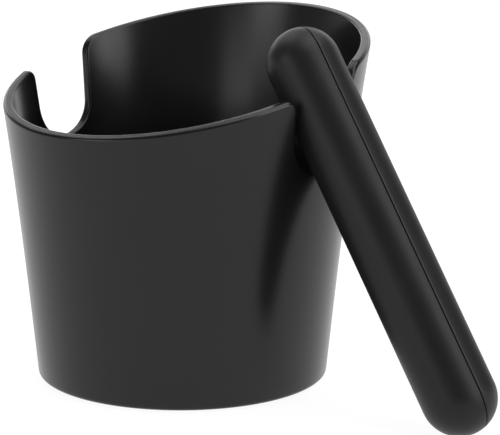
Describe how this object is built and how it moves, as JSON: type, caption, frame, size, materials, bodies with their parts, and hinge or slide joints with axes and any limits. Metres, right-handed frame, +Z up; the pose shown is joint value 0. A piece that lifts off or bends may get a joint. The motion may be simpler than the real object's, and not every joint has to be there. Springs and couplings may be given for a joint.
{
  "type": "espresso knock box",
  "caption": "Small round knock box: flared tub with a sloping rim and two notches for a loose padded knock bar, which leans out through one of them.",
  "frame": {"origin": "centre of the foot pad's lower face, on the tub's axis, on the surface the box stands on", "axes": "+Z up along the tub's axis; the two bar notches face +X and -X, with the bar leaning out through the +X notch; the low side of the rim faces -Y and the high side +Y"},
  "size_m": [0.213, 0.143, 0.1425],
  "materials": {
    "tub": "satin black moulded ABS with a very fine texture",
    "foot_pad": "matt black rubber",
    "bar_core": "natural nylon rod, hidden in the covers",
    "bar_cover": "soft-touch matt black thermoplastic rubber"
  },
  "bodies": {
    "box": {"tub": "tub", "foot_pad": "foot_pad"},
    "bar": {"bar_core": "bar_core", "bar_cover": "bar_cover", "bar_cover_strip": "bar_cover"}
  },
  "joints": [
    {"name": "bar_swing", "type": "hinge", "parent": "box", "child": "bar", "pos_m": [0.052, 0, 0.1155], "axis": [0, -1, 0], "range_deg": [0, 238.2]}
  ]
}
